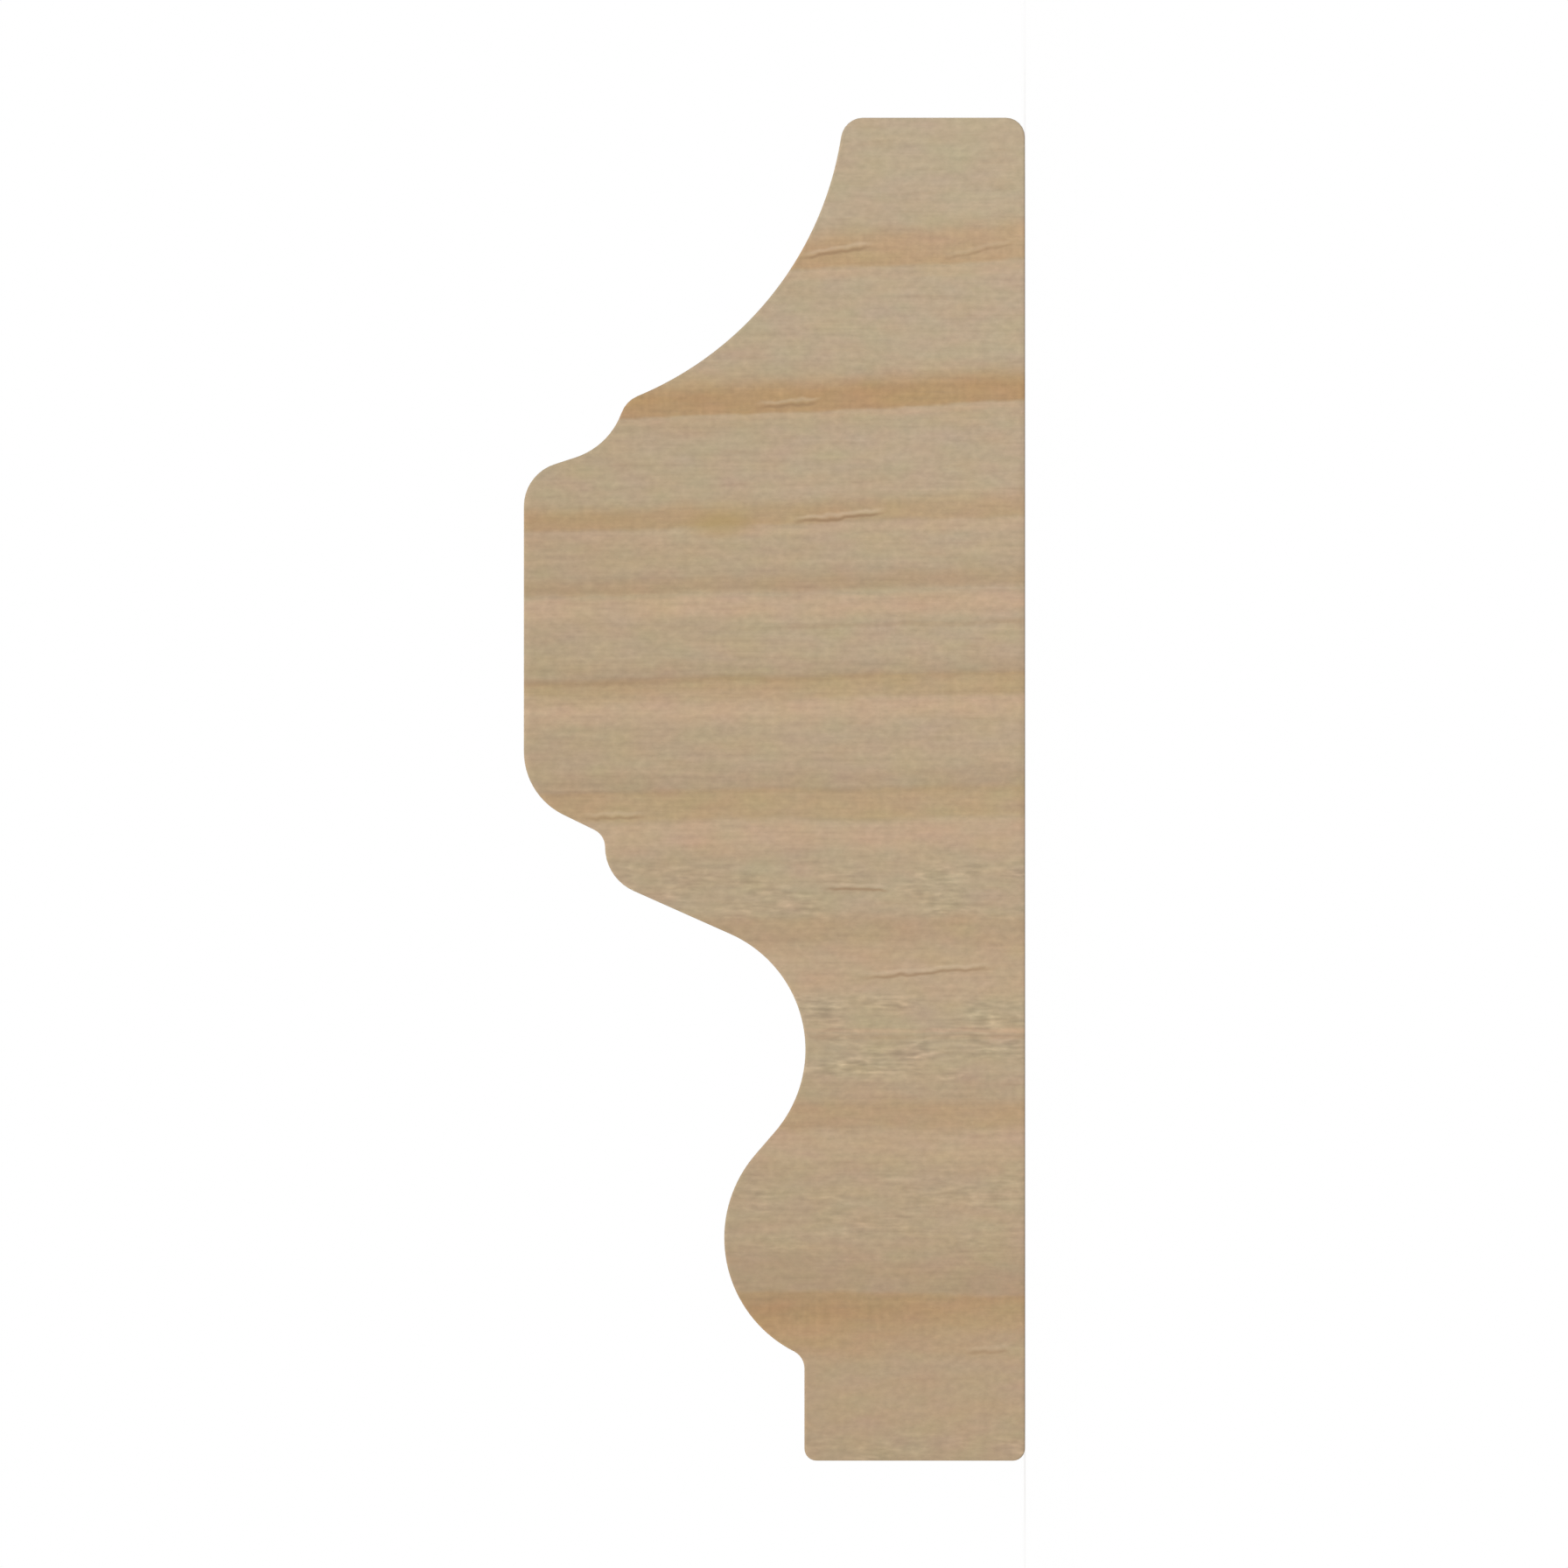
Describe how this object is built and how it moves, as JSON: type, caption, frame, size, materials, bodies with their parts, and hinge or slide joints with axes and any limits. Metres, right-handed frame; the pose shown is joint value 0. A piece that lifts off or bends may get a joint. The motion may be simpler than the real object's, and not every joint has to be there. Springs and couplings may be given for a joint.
{
  "type": "pine decorative moulding",
  "caption": "Straight length of pine trim with a flat back and a moulded face: foot fillet, bead, scotia, stepped nose, neck and large cove.",
  "frame": {"origin": "middle of the flat back, halfway along the length", "axes": "+Z out from the back towards the nose, +Y along the length and the grain, +X across the section from the foot edge to the top edge"},
  "size_m": [0.067, 1.2, 0.025],
  "materials": {
    "pine": "bare planed softwood, sawn ends"
  },
  "bodies": {
    "root": {"moulding": "pine"}
  },
  "joints": []
}
